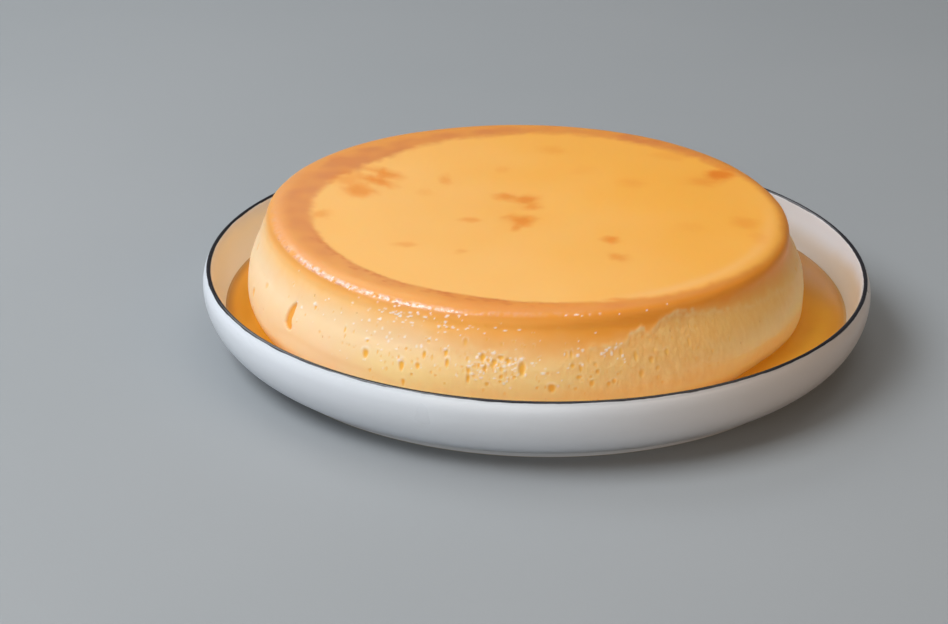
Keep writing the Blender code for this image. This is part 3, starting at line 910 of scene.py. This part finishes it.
def buildFlan(material):
    skin = flanSkin()
    ring, dark, skirt, line = brownSkin(skin)
    below, crest = tornSide(skin)
    sunk, hollow, glintRims = steamHoles(skin)
    inSlit, crease = slit(skin)
    wet = wetFlecks(skin) * (1 - hollow)
    freckled = freckleTone(skin)
    onSide = 1 - skin.onTop

    def by(name):  # what a table says for each point's direction
        return aroundFlan(skin.degrees, tonePlaces[name])

    wetBand = np.clip(1.7 * hump(skin.rise, by("wetRise"), tonePlaces["wetReach"]), 0, 1)
    wetCorner = fade(skin.up, *tonePlaces["wetFade"]) * wetBand * by("wet")

    def mixed(name, *layers):  # the layers by the shares in the relief dictionary
        return sum(share * layer for share, layer in zip(relief[name], layers))

    raised = onSide * mixed("side", skin.broad, skin.middling, skin.fine)
    sunkTop = mixed("top", *[layer - relief["topDown"] for layer in (skin.broad, skin.middling)])
    raised += skin.onTop * (sunkTop - relief["freckle"] * freckled)
    raised += hump(skin.up, *relief["shoulderAt"]) * aroundFlan(skin.degrees, relief["shoulderFill"])
    raised += relief["wrinkle"] * line
    raised += wetCorner * mixed("wetCorner", skin.small, skin.fine, skin.streaks)
    raised += relief["glintFleck"] * wet
    raised += below * mixed("torn", skin.streaks, skin.scars, -1) + relief["crest"] * crest
    raised += relief["rim"] * glintRims - relief["hole"] * sunk
    raised -= gash["depth"] * inSlit + relief["crease"] * crease

    moved = skin.points + skin.out * raised[:, None] * mm
    moved[:, 2] = np.minimum(moved[:, 2], flan["top"])
    middle = (flan["standsLeft"] + flan["leansRight"], 0, moved[-skin.innerColumns:, 2].mean())
    under = (flan["standsLeft"], 0, flan["bottom"])
    soakedTo = by("soakedTo")
    footHeights, footAt = tonePlaces["ochreFoot"]
    ochreFoot = fade(skin.up + skin.middling, *footHeights) * hump(skin.degrees, *footAt)
    uneven = skin.up + 1.6 * skin.middling
    fold = hump(skin.up, by("foldAt"), tonePlaces["foldWidth"])
    cornerBrownShade = fade(skin.up, *tonePlaces["cornerFade"]) * hump(skin.rise, *tonePlaces["cornerRise"])
    for end in tonePlaces["foldEnds"]:
        fold = fold * fade(skin.degrees, *end)
    masks = {
        "onTop": skin.onTop,
        "paintedLightLeft": fade(0.7 * skin.x + 0.3 * skin.y * skin.onTop + 16 * skin.broad, *tonePlaces["paintedLightLeft"]),
        "warm": by("warm"),
        "ring": ring, "ringDark": dark, "skirt": skirt, "duskyLine": line, "freckled": freckled,
        "paintedSheenBand": skin.onTop * hump(skin.radius, *tonePlaces["paintedSheenBandAt"]) * by("paintedSheenBand"),
        "hollow": hollow, "inSlit": inSlit, "glintRims": glintRims * np.clip(0.5 + 2 * skin.small, 0, 1),
        "crest": np.clip(crest * (0.8 + 1.1 * skin.small), 0, 1), "bare": below,
        "belly": fade(uneven, *tonePlaces["bellyFade"]) * by("belly"),
        "soakedAndBounce": fade(uneven, soakedTo, soakedTo - tonePlaces["soakedFade"]) + 0.4 * ochreFoot,
        "foldShade": fold,
        "cornerBrownShade": cornerBrownShade * by("cornerBrownShade"),
        "wet": np.clip(wetCorner * (0.8 + 1.9 * skin.small + 0.9 * skin.streaks + 0.8 * skin.fine), 0, 1),
        "glintFleck": wet,
        "broken": np.clip(wetCorner + 0.2 * below, 0, 1),
    }
    for label, values in masks.items():  # the last two points are the middle and the one under it
        masks[label] = np.concatenate([values, values[-1:], values[:1]])
    places = np.concatenate([moved, [middle, under]])
    return makePiece("custard_round", places, flanFaces(skin), material, masks)


tones = {
    # towards the right, and towards the left where it is paler: painted light and sheen on the lit left,
    # warmer painted glow in the shade on the right
    "top": (paint(244, 174, 68), paint(247, 192, 114)),
    "side": (paint(253, 198, 112), paint(248, 218, 182)),
    "skirt": (paint(254, 161, 40), paint(253, 182, 78)),
    # towards the left, and towards the right where the browned skin is warmer
    "ring": (paint(225, 153, 86), paint(225, 145, 56)),
    "ringDark": (paint(211, 136, 86), paint(211, 126, 60)),
    "topCloud": paint(246, 186, 98),
    "sideCloud": paint(250, 216, 154),
    "sideMottle": paint(247, 204, 132),
    "torn": (paint(238, 174, 88), paint(255, 214, 146)),
    "tornGrain": paint(246, 186, 100),
    # painted shade inside the tiny steam holes
    "steamHoleShade": paint(228, 160, 64),
    # painted over one another in this order: mask, share of it, tone
    "onTop": (
        ("freckled", 1.0, paint(228, 130, 30)),
        ("duskyLine", 0.8, paint(202, 112, 56)),
    ),
    "underTorn": (
        # partly real browning, partly painted shade on the rounded corner
        ("cornerBrownShade", 0.65, paint(202, 126, 50)),
        # partly caramel soaked into the foot, partly painted orange light bounced up from the syrup
        ("soakedAndBounce", 0.4, paint(248, 194, 98)),
        # painted shade under the fold
        ("foldShade", 0.25, paint(238, 196, 138)),
    ),
    "overTorn": (
        ("crest", 0.75, paint(255, 220, 162)),
        # painted highlight: the holes' upper rims paled as glints
        ("glintRims", 0.55, paint(255, 236, 220)),
        # painted shade and glow inside the holes and the slit
        ("hollow", 0.9, paint(248, 184, 54)),
        ("inSlit", 0.95, paint(240, 164, 58)),
        # painted highlight: white glints on the flecks
        ("glintFleck", 0.9, paint(255, 241, 238)),
        # painted highlight: the wet corner paled to pinkish white along the light's reflection
        ("wet", 0.6, paint(234, 190, 182)),
    ),
}


def custardMaterial():
    material, shader, spot = newMaterial("bakedCustard")

    def mask(label, share=1.0):
        return times(pointMask(label), share)

    def overlay(colour, layers):
        for label, share, tone in layers:
            colour = blend(mask(label, share), colour, tone)
        return colour

    def stretched(height):  # drawn out upright
        return place("ShaderNodeMapping", {"Vector": spot, "Scale": (1, 1, height)}).outputs[0]

    onTop = mask("onTop")
    broadTone = drift(spot, 50 * mm, 0.35)
    fineTone = drift(spot, 8 * mm, 0.4)
    top = blend(mask("paintedLightLeft"), *tones["top"])
    top = blend(times(broadTone, 0.3), top, tones["topCloud"])
    # painted sheen along the top's edge at the right
    top = overlay(top, [("paintedSheenBand", 0.5, paint(246, 192, 126))])
    side = blend(mask("paintedLightLeft"), *tones["side"])
    # painted light: paler low on the side, where shade would darken it
    side = overlay(side, [("belly", 1.0, paint(255, 234, 172))])
    side = blend(times(broadTone, 0.2), side, tones["sideCloud"])
    side = blend(times(fineTone, 0.16), side, tones["sideMottle"])
    # browned skin: peach over the top's edge, brown where it begins, ochre down the side
    for label, share in (("ring", 0.9), ("ringDark", 0.85)):
        brown = blend(mask("warm"), *tones[label])
        top = overlay(top, [(label, share, brown)])
    top = overlay(top, tones["onTop"])
    brown = blend(mask("paintedLightLeft"), *tones["skirt"])
    side = overlay(side, [("skirt", 0.95, brown)])
    colour = overlay(blend(onTop, side, top), tones["underTorn"])
    # torn custard is mottled in short upright streaks, with a paler crest
    mottle = drift(stretched(0.45), 2.6 * mm, 0.22)
    grainy = drift(spot, 1.3 * mm, 0.2)
    torn = blend(mottle, *tones["torn"])
    torn = blend(times(grainy, 0.5), torn, tones["tornGrain"])
    colour = overlay(colour, [("bare", 0.5, torn), *tones["overTorn"]])
    # tiny steam holes in the side, darker orange inside as painted shade
    dots = scatter(stretched(0.55), 4.6 * mm, 0.13, 0.4)
    sideDots = times(dots, sums("SUBTRACT", 1.0, onTop))
    colour = blend(times(sideDots, 0.4), colour, tones["steamHoleShade"])
    # a fine grain where the skin is broken, less its mean so that no step shows along the edge
    grain = sums("SUBTRACT", unevenness(spot, 1.1 * mm, 3.2 * mm, 0.6), 0.5)
    height = times(grain, sums("ADD", mask("broken"), 0.008))
    height = sums("SUBTRACT", height, times(sideDots, 0.2))
    setShader(shader, {
        "Base Color": colour, "IOR": 1.45, "Metallic": 0.0,
        "Roughness": between(mask("wet"), 0.0, 1.0, 0.42, 0.15),
        "Coat Weight": mask("wet"), "Coat Roughness": 0.13, "Coat IOR": 1.58,
        "Subsurface Weight": 0.4, "Subsurface Radius": (1.0, 0.65, 0.4), "Subsurface Scale": 1.0 * mm,
        "Normal": bumpNormal(height, 1.2 * mm, 1.0),
    })
    return material


custard = buildFlan(custardMaterial())
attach(custard, "root")
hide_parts("flan")
print("flan is made")


syrup = {
    "columns": 420,
    "rings": 30,
    "climb": 0.55 * mm,  # how far its edge creeps up the flan and the wall
    "climbReach": 1.3 * mm,
    "intoFlan": 0.5 * mm,
    "intoWall": 0.12 * mm,
    "underside": {"below": 1 * mm, "overFloor": 0.4 * mm, "overWall": 0.15 * mm, "insideFlan": 0.2 * mm},
    # each tone comes in between two shares of the full depth
    "shore": (paint(200, 156, 104), paint(206, 146, 70), (0.0, 0.14)),
    "slope": (paint(226, 156, 52), (0.1, 0.5)),
    "deep": (paint(198, 132, 30), paint(255, 183, 56), (0.4, 1.0)),  # at the back left, at the front right; painted light: darker where the light falls, lighter in the shade at the front right
    "swirl": paint(230, 156, 44),
    # painted shade on the pool at the back right, behind the flan
    "shadedBackRight": paint(170, 118, 58),
}


def buildSyrup(material):
    columns = syrup["columns"]
    angles = np.arange(columns) * tau / columns
    level = syrupLevel

    def flanRing(height, inside):
        radii = np.full(columns, sideRadius(height) - inside)
        return flanPoint(radii, np.full(columns, height), angles)

    def creep(distance):  # how much of the climb is left at a distance from the shore
        return np.exp(-np.maximum(distance, 0) / syrup["climbReach"])

    inner = flanRing(level, syrup["intoFlan"])[:, :2]
    around = np.stack([np.cos(angles), np.sin(angles)], 1)
    outer = around * (wallRadius(level + syrup["climb"]) + syrup["intoWall"])
    even = np.linspace(0, 1, syrup["rings"])
    rings = []
    depths = []
    for share in ease(even) * 0.5 + even * 0.5:  # closer together at both shores
        flat = inner + (outer - inner) * share
        fromFlan = np.linalg.norm(flat - inner, axis=1) - syrup["intoFlan"]
        fromWall = np.linalg.norm(outer - flat, axis=1) - syrup["intoWall"]
        edge = np.minimum(creep(fromFlan) + creep(fromWall), 1)
        rings.append(np.column_stack([flat, level + syrup["climb"] * edge]))
        depths.append((level - bowlHeight(np.linalg.norm(flat, axis=1))) / (level - plate["floorHeight"]))
    # underside, just over the bowl, and up inside the flan's foot
    under = syrup["underside"]
    for height in np.linspace(level - under["below"], plate["floorHeight"] + under["overFloor"], 5):
        overWall = around * (wallRadius(height) - under["overWall"])
        rings.append(np.column_stack([overWall, np.full(columns, height + 0.1 * mm)]))
    for height in np.linspace(syrupLow.z + 0.1 * mm, level - under["below"], 4):
        rings.append(flanRing(height, under["insideFlan"]))
    depths += [np.ones(columns)] * (len(rings) - len(depths))
    faces = []
    for ring in range(len(rings)):
        after = (ring + 1) % len(rings)
        faces += [quad[::-1] for quad in band(ring * columns, after * columns, columns)]
    masks = {"depth": np.concatenate(depths)}
    return makePiece("syrup_pool", np.concatenate(rings), faces, material, masks)


def syrupMaterial():
    material, shader, spot = newMaterial("caramelSyrup")
    depth = pointMask("depth")
    swirl = drift(spot, 18 * mm, 0.35)
    parts = place("ShaderNodeSeparateXYZ", {"Vector": spot}).outputs
    toFrontRight = sums("SUBTRACT", parts["X"], parts["Y"])
    toBackRight = between(sums("ADD", parts["X"], parts["Y"]), 110 * mm, 155 * mm)
    *deepTones, deepFrom = syrup["deep"]
    *shoreTones, shoreFrom = syrup["shore"]
    slopeTone, slopeFrom = syrup["slope"]
    # painted light: deep syrup darker at the lit back left, lighter in the shade at the front right
    deepTone = blend(between(toFrontRight, -20 * mm, 170 * mm), *deepTones)
    colour = blend(between(depth, *shoreFrom), *shoreTones)
    colour = blend(between(depth, *slopeFrom), colour, slopeTone)
    colour = blend(between(depth, *deepFrom), colour, deepTone)
    colour = blend(times(swirl, 0.2), colour, syrup["swirl"])
    # painted shade at the back right of the pool
    colour = blend(times(toBackRight, 0.6), colour, syrup["shadedBackRight"])
    setShader(shader, {
        "Base Color": colour, "Roughness": 0.2, "IOR": 1.48, "Specular IOR Level": 0.2, "Metallic": 0.0,
        "Subsurface Weight": 0.25, "Subsurface Radius": (1.0, 0.4, 0.1), "Subsurface Scale": 2 * mm,
        "Normal": bumpNormal(unevenness(spot, 4 * mm, 22 * mm, 0.85), 0.25 * mm, 0.25),
    })
    return material


pool = buildSyrup(syrupMaterial())
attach(pool, "root")
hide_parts("caramel_syrup")
print("syrup is made")
